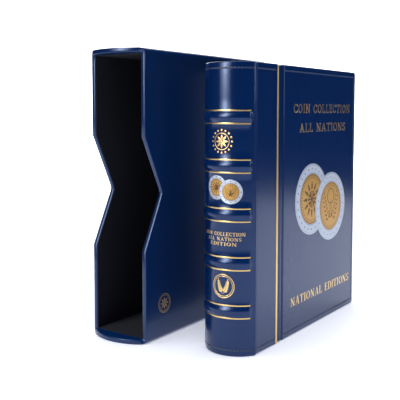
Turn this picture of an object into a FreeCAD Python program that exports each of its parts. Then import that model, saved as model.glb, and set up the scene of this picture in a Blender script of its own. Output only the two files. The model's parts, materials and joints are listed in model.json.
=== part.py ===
import FreeCAD, Part
import os
import re
import Sketcher

# Coin album that stands beside its matching slipcase. All sizes are in millimetres.
#
# Frame: +Z up. The origin is under the spine: half-way across the album's thickness, in the middle of the
# curved spine wall, on the surface that everything stands on. The spine faces -Y, the covers' free edges
# face +Y and the front cover faces +X. The creases are the two folds between the spine and the covers.

SIZES = {
    # Album as a closed book
    "album_height": 280.0,
    "album_thickness": 57.0,
    "cover_depth": 232.0,          # crease to the covers' free edge
    "board_thickness": 4.0,
    "board_corner": 3.0,           # radius of a cover's two free corners, seen flat
    "board_edge": 1.2,             # rounding of the outer edges
    "lining_thickness": 0.5,
    "lining_margin": 4.0,
    "crease_gap": 0.75,            # board's end to the crease's axis
    # Hinge groove in each cover
    "strip_width": 42.0,           # crease to the groove
    "groove_width": 12.0,
    "web_thickness": 1.4,
    "web_gap": 0.75,               # web's end to the groove's axis
    # Curved spine
    "spine_bulge": 17.6,           # how far the curve stands out from the creases
    "spine_wall": 3.5,
    "band_count": 5.0,
    "band_first": 43.2,            # height of the lowest band's middle
    "band_top": 51.6,              # top of the album to the highest band's middle
    "band_height": 9.5,
    "band_rise": 1.8,
    "band_inset": 4.0,             # band's end to the crease
    "seat_gap": 0.03,              # between pieces that are glued to each other
    # Board inside the spine that carries the ring mechanism
    "carrier_depth": 8.0,          # back face, below the creases
    "carrier_thickness": 1.8,
    # Ring mechanism
    "plate_inset": 18.0,           # album's end to the plate's
    "plate_width": 26.0,
    "plate_rise": 5.0,             # top of the plate above the carrier
    "plate_thickness": 1.0,
    "rivet_radius": 1.8,
    "rivet_head": 3.6,
    "rivet_head_thickness": 0.9,
    "rivet_play": 0.8,
    "blade_thickness": 1.2,
    "blade_lift": 0.8,             # gap under the blades
    "blade_gap": 0.6,              # half the gap between the blades
    "pivot_inset": 1.0,            # plate's inner side to the blade's pivot
    "blade_end_play": 1.5,
    "ring_count": 4.0,
    "ring_end": 17.0,              # plate's end to the nearest ring
    "ring_room": 4.5,              # ring to the cover's lining
    "leg_inset": 3.0,              # blade's pivot to the ring's leg
    "ring_play": 0.15,             # half the gap where two half rings meet
    "wire_radius": 1.5,
    "leg_play": 0.9,               # slot's room around a leg
    "lever_width": 7.6,
    "lever_thickness": 1.2,
    "lever_gap": 1.0,
    "lever_rise": 8.5,             # lever's end above the creases
    "lever_tab": 5.0,
    "lever_pivot_radius": 1.1,
    # Coin sheets
    "sheet_count": 4.0,
    "sheet_spread": 0.6,           # outer sheet's place, as a share of the ring's radius
    "sheet_inset": 14.0,           # album's end to the sheets
    "sheet_end_room": 35.0,        # how much narrower a sheet is than its cover
    "sheet_turn_play": 3.45,       # turned sheet to the cover's lining
    "sheet_corner": 4.0,
    "slot_room": 4.275,            # slot's room along the wire's curve
    "slot_play": 1.5,              # room on each side of the wire
    "slot_land": 4.5,              # sheet's inner edge to the slot
    "slot_shift": 1.0,             # slot's middle beyond the wire's
    "row_count": 5.0,
    "row_land": 18.8,              # sheet's end to the first row's wells
    "column_count": 4.0,
    "column_land": 11.3,           # strip's end to the first column's wells
    "well_radius": 13.2,
    "well_depth": 2.4,
    "well_floor": 0.95,
    "lip_thickness": 0.4,
    "lip_width": 2.5,
    "well_land": 1.3,              # well to the lip over it
    "slot_margin": 1.6,            # ring slots' land to the channel
    "strip_thickness": 0.55,
    "strip_room": 0.1,             # under and over the strip
    "strip_play": 0.3,
    "thumb_radius": 6.0,
    "card_margin": 7.0,
    "card_thickness": 0.35,
    "card_room": 0.1,
    "card_play": 0.4,
    # Slipcase
    "case_wall": 4.5,
    "case_cap": 5.0,
    "case_back": 4.5,
    "case_lining": 0.5,
    "case_side_play": 2.0,
    "case_height_play": 2.5,
    "case_depth_play": 1.0,
    "case_edge": 4.4,              # rounding of the long edges
    "case_lip": 1.0,               # rounding of the mouth
    "case_bulge": 13.0,            # how far the caps curve out past the mouth
    "case_distance": 48.0,         # between the slipcase and the album
    "case_setback": 36.0,          # mouth's place in front of the creases
    "notch_low": 94.0,
    "notch_top": 87.5,             # top of the slipcase to the notch
    "notch_depth": 28.0,
    "notch_tip": 3.0,
}

# Places and sizes that follow from the ones above.
DERIVED = {
    "crease": "spine_bulge - spine_wall / 2",
    "half": "album_thickness / 2",
    "inner_half": "half - board_thickness",
    "groove_axis": "crease + strip_width + groove_width / 2",
    "cover_start": "crease + strip_width + groove_width",
    "cover_end": "crease + cover_depth",
    "web_inner": "inner_half + lining_thickness",
    "arc_radius": "(half * half + spine_bulge * spine_bulge) / (2 * spine_bulge)",
    "arc_centre": "crease + arc_radius - spine_bulge",
    "carrier_back": "crease - carrier_depth",
    "carrier_face": "carrier_back + carrier_thickness",
    "carrier_half": "sqrt((arc_radius - spine_wall) ^ 2 - (arc_centre - carrier_back) ^ 2) - seat_gap",
    "middle": "album_height / 2",
    "band_pitch": "(album_height - band_first - band_top) / (band_count - 1)",
    "plate_length": "album_height - 2 * plate_inset",
    "plate_top": "carrier_face + plate_rise",
    "plate_low": "middle - plate_length / 2",
    "plate_high": "middle + plate_length / 2",
    "blade_bottom": "carrier_face + blade_lift",
    "blade_top": "blade_bottom + blade_thickness",
    "blade_pivot": "plate_width / 2 - plate_thickness - pivot_inset",
    "ring_pitch": "(plate_length - 2 * ring_end) / (ring_count - 1)",
    "rivet_pitch": "2 * ring_pitch",
    "ring_radius": "inner_half - lining_thickness - wire_radius - ring_room",
    "ring_leg": "blade_pivot - leg_inset",
    "sheet_pitch": "2 * ring_radius * sheet_spread / (sheet_count - 1)",
    "sheet_thickness": "lip_thickness + strip_channel_depth + well_depth + well_floor",
    "sheet_reach": "ring_radius * sheet_spread + sheet_thickness / 2",
    "ring_rise": "board_thickness + lining_thickness + sheet_turn_play + sheet_reach",
    "ring_centre": "crease + ring_rise",
    "leg_top": "ring_centre - sqrt(ring_radius ^ 2 - ring_leg ^ 2)",
    "lever_axis_y": "plate_top - 2 * lever_pivot_radius",
    "sheet_height": "album_height - 2 * sheet_inset",
    "sheet_low": "middle - sheet_height / 2",
    "sheet_width": "cover_depth - sheet_end_room",
    "slot_run": "sheet_thickness * sheet_spread + 2 * wire_radius",
    "slot_length": "slot_run / sqrt(1 - sheet_spread ^ 2) + slot_room",
    "slot_width": "2 * (wire_radius + slot_play)",
    "strip_margin": "2 * slot_land + slot_length + slot_margin",
    "strip_channel_depth": "strip_thickness + 2 * strip_room",
    "strip_channel_height": "2 * (well_radius + well_land + lip_width)",
    "row_pitch": "(sheet_height - 2 * (row_land + well_radius)) / (row_count - 1)",
    "first_well": "column_land + well_radius",
    "column_pitch": "(sheet_width - strip_margin - 2 * first_well) / (column_count - 1)",
    "card_pocket": "card_thickness + card_room",
    "case_half": "half + case_side_play + case_lining + case_wall",
    "case_inner_half": "case_half - case_wall",
    "case_height": "album_height + 2 * (case_height_play + case_lining + case_cap)",
    "case_depth": "cover_depth + case_depth_play + case_lining + case_back",
    "case_middle": "0 - half - case_distance - case_half",
    "notch_high": "case_height - notch_top",
    "mouth": "crease - case_setback",
    "case_end": "mouth + case_depth",
    "cap_radius": "(case_half * case_half + case_bulge * case_bulge) / (2 * case_bulge)",
}

NODES = []

doc = FreeCAD.newDocument("coin_album")
sheet = doc.addObject("Spreadsheet::Sheet", "Sizes")
for row, (alias, size) in enumerate(SIZES.items(), start=1):
    sheet.set(f"A{row}", alias)
    sheet.set(f"B{row}", str(size))
    sheet.setAlias(f"B{row}", alias)
doc.recompute()


def formula(text):
    """Spells a size formula for FreeCAD: opens derived names and points the others at the sheet."""
    def spell(match):
        word = match.group(0)
        if word in DERIVED:
            return "(" + formula(DERIVED[word]) + ")"
        if word in SIZES:
            return "Sizes." + word
        return word
    return re.sub(r"[a-z][a-z_]*", spell, str(text))


def number(text):
    """The present value of a size formula, for loops, angles and edge picks."""
    return float(sheet.evalExpression(formula(text)))


def bind(obj, sizes):
    for name, text in sizes.items():
        obj.setExpression(name, formula(text))


def place(obj, x="0", y="0", z="0"):
    bind(obj, {".Placement.Base.x": x, ".Placement.Base.y": y, ".Placement.Base.z": z})
    return obj


def block(name, x, y, z):
    """A box from its low and high limit on each axis."""
    obj = doc.addObject("Part::Box", name)
    bind(obj, {
        "Length": f"({x[1]}) - ({x[0]})",
        "Width": f"({y[1]}) - ({y[0]})",
        "Height": f"({z[1]}) - ({z[0]})",
    })
    return place(obj, x[0], y[0], z[0])


def drum(name, radius, height, x, y, z, along="z"):
    """A cylinder that starts at x, y, z and runs along one axis."""
    obj = doc.addObject("Part::Cylinder", name)
    turns = {"x": ((0, 1, 0), 90), "y": ((1, 0, 0), -90), "z": ((0, 0, 1), 0)}
    axis, angle = turns[along]
    obj.Placement = FreeCAD.Placement(FreeCAD.Vector(), FreeCAD.Rotation(FreeCAD.Vector(*axis), angle))
    bind(obj, {"Radius": radius, "Height": height})
    return place(obj, x, y, z)


def ball(name, radius, x, y, z):
    obj = doc.addObject("Part::Sphere", name)
    bind(obj, {"Radius": radius})
    return place(obj, x, y, z)


def join(name, pieces):
    """One solid made of pieces that meet or overlap."""
    obj = doc.addObject("Part::MultiFuse", name)
    obj.Shapes = pieces
    obj.Refine = True
    return obj


def cut(name, base, tools):
    obj = doc.addObject("Part::Cut", name)
    obj.Base = base
    obj.Tool = tools[0] if len(tools) == 1 else join(name + "_tools", tools)
    return obj


def overlap(name, first, second):
    obj = doc.addObject("Part::Common", name)
    obj.Base = first
    obj.Tool = second
    return obj


def gather(name, pieces):
    """Several separate solids kept in one node."""
    obj = doc.addObject("Part::Compound", name)
    obj.Links = pieces
    return obj


def mirrored(name, source):
    """The same piece on the other side of the album's middle plane."""
    obj = doc.addObject("Part::Mirroring", name)
    obj.Source = source
    obj.Normal = FreeCAD.Vector(1, 0, 0)
    return obj


def rounded(name, base, radius, wanted):
    """Rounds the edges for which wanted(edge) is true."""
    doc.recompute()
    size = number(radius)
    picks = [(i, size, size) for i, edge in enumerate(base.Shape.Edges, start=1) if wanted(edge)]
    obj = doc.addObject("Part::Fillet", name)
    obj.Base = base
    obj.Edges = picks
    return obj


def node(obj, label):
    obj.Label = label
    NODES.append(obj)
    return obj


def runs_along(edge, axis):
    """True for a straight edge parallel to the axis given as 0, 1 or 2."""
    first, last = edge.Vertexes[0].Point, edge.Vertexes[-1].Point
    change = [abs(last[i] - first[i]) for i in range(3)]
    return change[axis] > 1e-3 and sum(change) - change[axis] < 1e-6


def lies_at(edge, axis, level):
    box = edge.BoundBox
    low = (box.XMin, box.YMin, box.ZMin)[axis]
    high = (box.XMax, box.YMax, box.ZMax)[axis]
    return abs(low - level) < 1e-3 and abs(high - level) < 1e-3


def outline(body, label, plane, points):
    """A closed sketch of straight lines. Each point is a pair of size formulas."""
    sketch = body.newObject("Sketcher::SketchObject", label)
    origin = [o for o in body.Origin.OriginFeatures if o.Role == plane][0]
    sketch.AttachmentSupport = (origin, [""])
    sketch.MapMode = "FlatFace"
    spots = [FreeCAD.Vector(number(across), number(up), 0) for across, up in points]
    count = len(spots)
    for i in range(count):
        sketch.addGeometry(Part.LineSegment(spots[i], spots[(i + 1) % count]))
    for i in range(count):
        sketch.addConstraint(Sketcher.Constraint("Coincident", i, 2, (i + 1) % count, 1))
    for i, (across, up) in enumerate(points):
        for kind, text, at in (("DistanceX", across, spots[i].x), ("DistanceY", up, spots[i].y)):
            index = sketch.addConstraint(Sketcher.Constraint(kind, -1, 1, i, 1, at))
            sketch.setExpression(f"Constraints[{index}]", formula(text))
    return sketch


# --- Covers: boards with a thin bending web along the groove ---------------------------------------

def rounded_board(name, y_limits, free_corners):
    """A cover board on the front side with soft outer edges."""
    base = block(name + "_blank", ("inner_half", "half"), y_limits, ("0", "album_height"))
    if free_corners:
        end = number(y_limits[1])
        base = rounded(name + "_corners", base, "board_corner",
                       lambda edge: runs_along(edge, 0) and lies_at(edge, 1, end))
    face = number("half")
    start = number(y_limits[0])
    return rounded(name + "_edges", base, "board_edge",
                   lambda edge: lies_at(edge, 0, face) and (free_corners or not lies_at(edge, 1, start)))


def web(name, y_limits):
    return block(name, ("web_inner", "web_inner + web_thickness"), y_limits,
                 ("board_edge", "album_height - board_edge"))


def lining(name, y_limits):
    return block(name, ("inner_half - lining_thickness", "inner_half"), y_limits,
                 ("lining_margin", "album_height - lining_margin"))


strip_limits = ("crease + crease_gap", "crease + strip_width")
cover_limits = ("cover_start", "cover_end")
strip_web = web("front_strip_web", ("crease + strip_width", "groove_axis - web_gap"))
cover_web = web("front_cover_web", ("groove_axis + web_gap", "cover_start"))
strip_board = rounded_board("front_strip_board", strip_limits, False)
front_strip = node(join("front_strip", [strip_board, strip_web]), "front_strip_board")
front_cover = node(join("front_cover", [rounded_board("front_panel", cover_limits, True), cover_web]),
                   "front_cover_board")
front_strip_lining = node(
    lining("front_strip_paper", ("crease + lining_margin / 2", "crease + strip_width")),
    "front_strip_lining")
front_cover_lining = node(
    lining("front_cover_paper", ("cover_start", "cover_end - lining_margin")), "front_cover_lining")
node(mirrored("rear_strip", front_strip), "rear_strip_board")
node(mirrored("rear_cover", front_cover), "rear_cover_board")
node(mirrored("rear_strip_paper", front_strip_lining), "rear_strip_lining")
node(mirrored("rear_cover_paper", front_cover_lining), "rear_cover_lining")


# --- Spine: curved wall, raised bands and the board that carries the rings --------------------------

def arc_wall(name, inner, outer, z, y_end):
    """A curved wall about the spine's arc centre, as far as y_end."""
    height = f"({z[1]}) - ({z[0]})"
    solid = drum(name + "_outer", outer, height, "0", "arc_centre", z[0])
    hollow = drum(name + "_inner", inner, height, "0", "arc_centre", z[0])
    ring = cut(name + "_ring", solid, [hollow])
    window = block(name + "_window", (f"0 - ({outer})", outer), (f"arc_centre - ({outer}) - 1", y_end), z)
    return overlap(name, ring, window)


spine_wall = arc_wall("spine_wall_blank", "arc_radius - spine_wall", "arc_radius", ("0", "album_height"),
                      "crease - crease_gap")
spine_radius = number("arc_radius")
node(rounded("spine_wall", spine_wall, "board_edge",
             lambda edge: hasattr(edge.Curve, "Radius") and abs(edge.Curve.Radius - spine_radius) < 1e-6),
     "spine_wall")

bands = []
for i in range(int(number("band_count"))):
    middle = f"band_first + {i} * band_pitch"
    z_limits = (f"{middle} - band_height / 2", f"{middle} + band_height / 2")
    bands.append(arc_wall(f"band_{i + 1}", "arc_radius + seat_gap", "arc_radius + band_rise", z_limits,
                          "crease - band_inset"))
node(gather("bands", bands), "raised_bands")

rivet_heights = ["middle - rivet_pitch / 2", "middle + rivet_pitch / 2"]


def rivet_hole(name, radius, z):
    return drum(name, radius, "carrier_thickness + plate_rise + 2", "0", "carrier_back - 1", z, "y")


carrier_blank = block("carrier_blank", ("0 - carrier_half", "carrier_half"),
                      ("carrier_back", "carrier_face"), ("board_edge", "album_height - board_edge"))
node(cut("carrier", carrier_blank,
         [rivet_hole(f"carrier_hole_{i}", "rivet_radius", z) for i, z in enumerate(rivet_heights)]),
     "ring_carrier_board")


# --- Ring mechanism: plate, rivets, two blades with half rings, two levers --------------------------

ring_heights = [f"middle + ({i} - (ring_count - 1) / 2) * ring_pitch"
                for i in range(int(number("ring_count")))]

plate_blank = block("plate_blank", ("0 - plate_width / 2", "plate_width / 2"), ("carrier_face", "plate_top"),
                    ("plate_low", "plate_high"))
plate_edge = rounded("plate_soft", plate_blank, "plate_thickness",
                     lambda edge: runs_along(edge, 2) and lies_at(edge, 1, number("plate_top")))
plate_hollow = block("plate_hollow",
                     ("plate_thickness - plate_width / 2", "plate_width / 2 - plate_thickness"),
                     ("carrier_face - 1", "plate_top - plate_thickness"),
                     ("plate_low - 1", "plate_high + 1"))
plate_cuts = [plate_hollow]
for i, z in enumerate(ring_heights):
    for side, sign in (("right", ""), ("left", "0 - ")):
        reach = "wire_radius + leg_play"
        limits = ["ring_leg - wire_radius - leg_play / 2", "ring_leg + wire_radius + leg_play"]
        if side == "left":
            limits = [f"0 - ({limits[1]})", f"0 - ({limits[0]})"]
        plate_cuts.append(block(f"leg_slot_{side}_{i + 1}", limits,
                                ("plate_top - plate_thickness - 0.5", "plate_top + 1"),
                                (f"{z} - ({reach})", f"{z} + {reach}")))
for i, z in enumerate(rivet_heights):
    plate_cuts.append(rivet_hole(f"plate_hole_{i}", "rivet_radius", z))
node(cut("plate", plate_edge, plate_cuts), "ring_plate")

rivets = []
for i, z in enumerate(rivet_heights):
    shank = drum(f"rivet_shank_{i}", "rivet_radius - seat_gap",
                 "carrier_thickness + plate_rise + seat_gap", "0", "carrier_back", z, "y")
    head = drum(f"rivet_head_{i}", "rivet_head", "rivet_head_thickness", "0", "plate_top + seat_gap", z, "y")
    rivets.append(join(f"rivet_{i}", [shank, head]))
node(gather("rivets", rivets), "plate_rivets")

blade_blank = block("blade_blank", ("blade_gap", "blade_pivot + blade_thickness / 2"),
                    ("blade_bottom", "blade_top"),
                    ("plate_low + blade_end_play", "plate_high - blade_end_play"))
blade_right = node(
    cut("blade_right", blade_blank,
        [rivet_hole(f"blade_relief_{i}", "rivet_radius + rivet_play", z)
         for i, z in enumerate(rivet_heights)]),
    "ring_blade_right")
node(mirrored("blade_left", blade_right), "ring_blade_left")


def half_ring(name, z):
    """Right half of one ring: a bent wire that stands on the blade."""
    wire = doc.addObject("Part::Torus", name + "_loop")
    bind(wire, {"Radius1": "ring_radius", "Radius2": "wire_radius"})
    place(wire, "0", "ring_centre", z)
    z_limits = (f"{z} - wire_radius - 1", f"{z} + wire_radius + 1")
    reach = "ring_radius + wire_radius + 1"
    upper = block(name + "_upper", ("ring_play", reach), ("ring_centre", f"ring_centre + {reach}"), z_limits)
    lower = block(name + "_lower", ("ring_leg", reach),
                  (f"ring_centre - ({reach})", "ring_centre"), z_limits)
    bend = overlap(name + "_bend", wire, join(name + "_side", [upper, lower]))
    elbow = ball(name + "_elbow", "wire_radius", "ring_leg", "leg_top", z)
    leg = drum(name + "_leg", "wire_radius", "leg_top - blade_top", "ring_leg", "blade_top", z, "y")
    return join(name, [bend, elbow, leg])


rings_right = node(
    gather("rings_right", [half_ring(f"half_ring_{i + 1}", z) for i, z in enumerate(ring_heights)]),
    "half_rings_right")
node(mirrored("rings_left", rings_right), "half_rings_left")


def lever(name, end, outward):
    """A thumb lever past one end of the plate. outward is 1 at the top and -1 at the bottom."""
    def span(near, far):
        low, high = f"{end} + {outward} * ({near})", f"{end} + {outward} * ({far})"
        return (low, high) if outward > 0 else (high, low)
    wide = ("0 - lever_width / 2", "lever_width / 2")
    arm = block(name + "_arm", wide, ("lever_axis_y", "crease + lever_rise"),
                span("lever_gap", "lever_gap + lever_thickness"))
    tab = block(name + "_tab", wide, ("crease + lever_rise - lever_thickness", "crease + lever_rise"),
                span("lever_gap", "lever_gap + lever_tab"))
    barrel = drum(name + "_barrel", "lever_pivot_radius", "lever_width", wide[0], "lever_axis_y",
                  f"{end} + {outward} * (lever_gap + lever_thickness / 2)", "x")
    return join(name, [arm, tab, barrel])


node(lever("lever_high", "plate_high", 1), "lever_top")
node(lever("lever_low", "plate_low", -1), "lever_bottom")


# --- Coin sheets: a tray with round wells, a card behind it and sliding closing strips --------------

def coin_sheet(k):
    """One sheet with its strips. Sheets are counted from the rear cover."""
    name = f"sheet_{k}"
    across = f"({k} - (sheet_count + 1) / 2) * sheet_pitch"
    face = f"{across} + sheet_thickness / 2"
    back = f"{across} - sheet_thickness / 2"
    slot_middle = f"ring_centre + sqrt(ring_radius ^ 2 - ({across}) ^ 2) + slot_shift"
    edge = f"{slot_middle} - slot_length / 2 - slot_land"
    far = f"{edge} + sheet_width"
    blank = block(name + "_blank", (back, face), (edge, far), ("sheet_low", "sheet_low + sheet_height"))
    tray = rounded(name + "_soft", blank, "sheet_corner", lambda edge: runs_along(edge, 0))
    channel_floor = f"{face} - lip_thickness - strip_channel_depth"
    cuts = []
    for i, z in enumerate(ring_heights):
        cuts.append(block(f"{name}_slot_{i + 1}", (f"{back} - 1", f"{face} + 1"),
                          (f"{slot_middle} - slot_length / 2", f"{slot_middle} + slot_length / 2"),
                          (f"{z} - slot_width / 2", f"{z} + slot_width / 2")))
    for row in range(int(number("row_count"))):
        z = f"middle + ({row} - (row_count - 1) / 2) * row_pitch"
        half_channel = "strip_channel_height / 2"
        half_window = "(strip_channel_height / 2 - lip_width)"
        half_strip = "(strip_channel_height / 2 - strip_play)"
        cuts.append(block(f"{name}_channel_{row + 1}", (channel_floor, f"{face} - lip_thickness"),
                          (f"{edge} + strip_margin", f"{far} + 1"),
                          (f"{z} - {half_channel}", f"{z} + {half_channel}")))
        cuts.append(block(f"{name}_window_{row + 1}", (f"{face} - lip_thickness - 0.1", f"{face} + 1"),
                          (f"{edge} + strip_margin + lip_width", f"{far} + 1"),
                          (f"{z} - {half_window}", f"{z} + {half_window}")))
        for column in range(int(number("column_count"))):
            y = f"{edge} + strip_margin + first_well + {column} * column_pitch"
            cuts.append(drum(f"{name}_well_{row + 1}_{column + 1}", "well_radius", "well_depth + 0.1",
                             f"{channel_floor} - well_depth", y, z, "x"))
        blank_strip = block(
            f"{name}_strip_blank_{row + 1}",
            (f"{channel_floor} + strip_room", f"{channel_floor} + strip_room + strip_thickness"),
            (f"{edge} + strip_margin + strip_play", far), (f"{z} - {half_strip}", f"{z} + {half_strip}"))
        thumb = drum(f"{name}_thumb_{row + 1}", "thumb_radius", "sheet_thickness", f"{channel_floor} - 1",
                     f"{far} + thumb_radius / 3", z, "x")
        node(cut(f"{name}_strip_cut_{row + 1}", blank_strip, [thumb]), f"{name}_strip_{row + 1}")
    pocket_y = (f"{edge} + strip_margin", f"{far} - card_margin")
    pocket_z = ("sheet_low + card_margin", "sheet_low + sheet_height - card_margin")
    cuts.append(block(name + "_pocket", (f"{back} - 1", f"{back} + card_pocket"), pocket_y, pocket_z))
    node(cut(name + "_tray_cut", tray, cuts), f"{name}_tray")
    node(block(name + "_card_blank", (f"{back} + card_pocket - card_thickness", f"{back} + card_pocket"),
               (f"{pocket_y[0]} + card_play", f"{pocket_y[1]} - card_play"),
               (f"{pocket_z[0]} + card_play", f"{pocket_z[1]} - card_play")), f"{name}_card")


for k in range(1, int(number("sheet_count")) + 1):
    coin_sheet(k)


# --- Slipcase: two notched sides between curved caps, a back and a thin lining ----------------------

def notched_side(label, wall, z_limits, y_end, inset):
    """An upright panel in its own plane, with the thumb notch cut into its mouth edge."""
    body = doc.addObject("PartDesign::Body", label + "_body")
    low, high = z_limits
    tip = "(notch_low + notch_high) / 2"
    points = [(f"mouth + {inset}", low), (y_end, low), (y_end, high), (f"mouth + {inset}", high),
              (f"mouth + {inset}", "notch_high"), (f"mouth + notch_depth + {inset}", tip),
              (f"mouth + {inset}", "notch_low")]
    sketch = outline(body, label + "_outline", "YZ_Plane", points)
    pad = body.newObject("PartDesign::Pad", label + "_pad")
    pad.Profile = sketch
    bind(pad, {"Length": wall})
    doc.recompute()
    tip_y = number(points[5][0])
    picks = [f"Edge{i}" for i, edge in enumerate(pad.Shape.Edges, start=1)
             if runs_along(edge, 0) and lies_at(edge, 1, tip_y)]
    soft = body.newObject("PartDesign::Fillet", label + "_tip")
    soft.Base = (pad, picks)
    bind(soft, {"Radius": "notch_tip"})
    body.Tip = soft
    return body


def case_side(side, start):
    """A side wall whose outer back edge is rounded."""
    body = notched_side(f"case_{side}", "case_wall", ("case_cap", "case_height - case_cap"), "case_end", "0")
    doc.recompute()
    outer = number("case_wall") if side == "right" else 0.0
    end = number("case_end")
    picks = [f"Edge{i}" for i, edge in enumerate(body.Shape.Edges, start=1)
             if runs_along(edge, 2) and lies_at(edge, 1, end) and lies_at(edge, 0, outer)]
    panel = body.Tip
    corner = body.newObject("PartDesign::Fillet", f"case_{side}_corner")
    corner.Base = (panel, picks)
    bind(corner, {"Radius": "case_edge"})
    body.Tip = corner
    place(body, start)
    node(body, f"case_{side}_wall")


case_side("right", "case_middle + case_half - case_wall")
case_side("left", "case_middle - case_half")


def case_cap(label, low, high, outer):
    """Top or bottom of the slipcase, with a mouth edge that curves out."""
    x_limits = ("case_middle - case_half", "case_middle + case_half")
    flat = block(label + "_flat", x_limits, ("mouth", "case_end"), (low, high))
    disc = drum(label + "_disc", "cap_radius", f"({high}) - ({low})", "case_middle",
                "mouth + cap_radius - case_bulge", low)
    front = block(label + "_front", x_limits, ("mouth - case_bulge - 1", "mouth + 1"), (low, high))
    whole = join(label + "_whole", [flat, overlap(label + "_bow", disc, front)])
    level = number(outer)
    end = number("case_end")
    corners = rounded(label + "_corners", whole, "case_edge",
                      lambda edge: runs_along(edge, 2) and lies_at(edge, 1, end))
    mouth = number("mouth")
    return rounded(label, corners, "case_edge",
                   lambda edge: lies_at(edge, 2, level) and edge.BoundBox.YMax > mouth + 1)


node(case_cap("cap_top", "case_height - case_cap", "case_height", "case_height"), "case_top")
node(case_cap("cap_bottom", "0", "case_cap", "0"), "case_bottom")
node(block("case_back_panel", ("case_middle - case_inner_half", "case_middle + case_inner_half"),
           ("case_end - case_back", "case_end"), ("case_cap", "case_height - case_cap")), "case_back")

lining_low = "case_cap + case_lining"
lining_high = "case_height - case_cap - case_lining"
for side, start in (("right", "case_middle + case_inner_half - case_lining"),
                    ("left", "case_middle - case_inner_half")):
    paper = notched_side(f"case_lining_{side}_paper", "case_lining", (lining_low, lining_high),
                         "case_end - case_back - case_lining", "case_lip")
    node(place(paper, start), f"case_lining_{side}")
for label, low, high in (("top", lining_high, "case_height - case_cap"), ("bottom", "case_cap", lining_low)):
    node(block(f"case_paper_{label}", ("case_middle - case_inner_half", "case_middle + case_inner_half"),
               ("mouth + case_lip", "case_end - case_back"), (low, high)), f"case_lining_{label}")
node(block("case_paper_back", ("case_middle - case_inner_half", "case_middle + case_inner_half"),
           ("case_end - case_back - case_lining", "case_end - case_back"), (lining_low, lining_high)),
     "case_lining_back")


# --- Check and export -----------------------------------------------------------------------------

doc.recompute()
faults = [f"{obj.Name}: {obj.State}" for obj in doc.Objects
          if "Invalid" in obj.State or "Error" in obj.State]
faults += [obj.Label for obj in NODES
           if obj.Shape.isNull() or not obj.Shape.isValid() or not obj.Shape.Solids]
if faults:
    raise RuntimeError("failed objects: " + ", ".join(faults))
os.makedirs("parts", exist_ok=True)
for obj in NODES:
    obj.Shape.exportStep(f"parts/{obj.Label}.step")
print(f"{len(NODES)} nodes written")
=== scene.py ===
import json
import math

import bmesh
import bpy
import numpy as np
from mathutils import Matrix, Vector


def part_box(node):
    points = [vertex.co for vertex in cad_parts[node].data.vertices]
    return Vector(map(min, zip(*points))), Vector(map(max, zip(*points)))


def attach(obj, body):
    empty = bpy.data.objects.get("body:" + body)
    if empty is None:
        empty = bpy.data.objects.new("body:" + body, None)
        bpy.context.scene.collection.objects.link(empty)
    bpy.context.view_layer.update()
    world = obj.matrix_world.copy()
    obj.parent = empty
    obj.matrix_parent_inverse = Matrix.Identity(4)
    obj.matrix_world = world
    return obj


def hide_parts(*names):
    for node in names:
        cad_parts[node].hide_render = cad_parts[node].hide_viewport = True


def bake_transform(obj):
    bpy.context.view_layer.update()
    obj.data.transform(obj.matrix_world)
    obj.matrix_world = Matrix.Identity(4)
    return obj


# Coin album beside its slipcase. Lengths are millimetres in the frame of the CAD model, and MM turns them
# into metres as each piece is made; only the studio at the end is written in metres. +X is out of the front
# cover, -Y out of the spine, +Z up.
MM = 0.001

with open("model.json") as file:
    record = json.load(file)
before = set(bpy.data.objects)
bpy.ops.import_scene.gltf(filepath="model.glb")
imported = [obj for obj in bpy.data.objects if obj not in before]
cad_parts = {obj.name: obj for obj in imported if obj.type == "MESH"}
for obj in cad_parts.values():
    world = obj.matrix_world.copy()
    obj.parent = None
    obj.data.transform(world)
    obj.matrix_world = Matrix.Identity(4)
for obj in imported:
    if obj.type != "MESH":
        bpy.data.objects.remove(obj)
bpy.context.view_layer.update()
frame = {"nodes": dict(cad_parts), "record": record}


def limits(node):
    """Lowest and highest corner of a CAD node, in millimetres."""
    lowest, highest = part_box(node)
    return np.array(lowest) / MM, np.array(highest) / MM


# Album, from the CAD nodes: boards, linings, and the creases and grooves between the boards
BOARD_GAP = 0.75                # a board's end to the crease's axis
WEB_SEAT = 0.5                  # board's inner face to the underside of a web
WEB_THICKNESS = 1.4
BOARD_HIGH = limits("front_cover_board")[1]
HEIGHT = BOARD_HIGH[2]
HALF = BOARD_HIGH[0]
INNER = limits("front_cover_lining")[1][0]
COVER_START = limits("front_cover_lining")[0][1]
COVER_END = BOARD_HIGH[1]
STRIP_START = limits("front_strip_board")[0][1]
STRIP_END = limits("front_strip_lining")[1][1]
CREASE = STRIP_START - BOARD_GAP
WEB_IN = INNER + WEB_SEAT
WEB_OUT = WEB_IN + WEB_THICKNESS

# Spine: an arc through both creases
BULGE = CREASE - limits("spine_wall")[0][1]
SPINE_R = (HALF ** 2 + BULGE ** 2) / (2 * BULGE)
SPINE_Y = CREASE + SPINE_R - BULGE
SPINE_WALL = 3.5
SPINE_END = math.acos((SPINE_Y - CREASE + BOARD_GAP) / SPINE_R)
BAND_FIRST, BAND_PITCH, BAND_COUNT = 43.2, 46.3, 5
BANDS = [BAND_FIRST + BAND_PITCH * i for i in range(BAND_COUNT)]
BAND_RISE = 1.8
BAND_HALF = 5.4                 # middle of a band to the foot of its slope
BAND_STOP = math.radians(57.5)  # where a band ends on the spine's arc
BAND_FADE = math.radians(6)     # arc over which its end slopes down

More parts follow.
